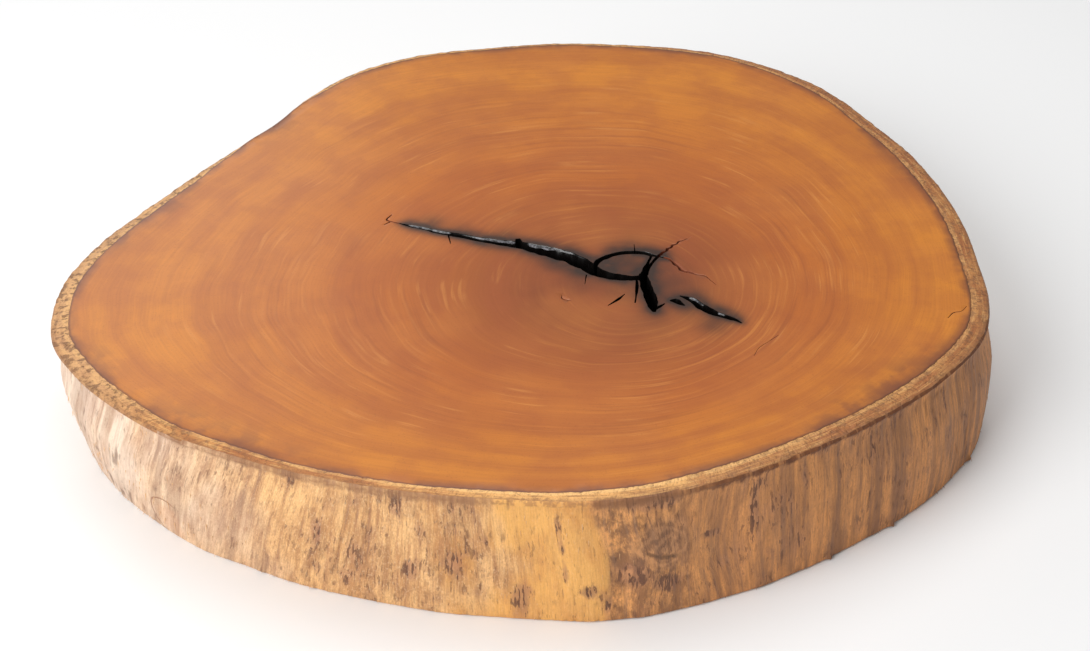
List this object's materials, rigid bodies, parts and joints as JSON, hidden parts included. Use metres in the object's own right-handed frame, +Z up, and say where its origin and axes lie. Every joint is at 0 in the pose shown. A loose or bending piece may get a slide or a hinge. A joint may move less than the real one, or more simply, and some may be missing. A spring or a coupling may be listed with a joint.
{
  "type": "wood slice",
  "caption": "Thick, roughly round cross cut of a tree trunk, peeled of its bark, with a flat top, a light sapwood rim, cracks running out from the heart, and a flat sawn underside.",
  "frame": {"origin": "middle of the outer box, on the sawn underside that the slice rests on", "axes": "+Z up through the thickness, +X along the longest width, with the wide front edge towards -Y"},
  "size_m": [0.919, 0.8624, 0.14],
  "materials": {
    "wood": "lacquered sawn top in honey orange with growth rings, paler sapwood rim, black lacquered cracks, peeled matt side in cream, tan and grey-brown, raw sawn underside"
  },
  "bodies": {
    "root": {"wood_slice": "wood"}
  },
  "joints": []
}
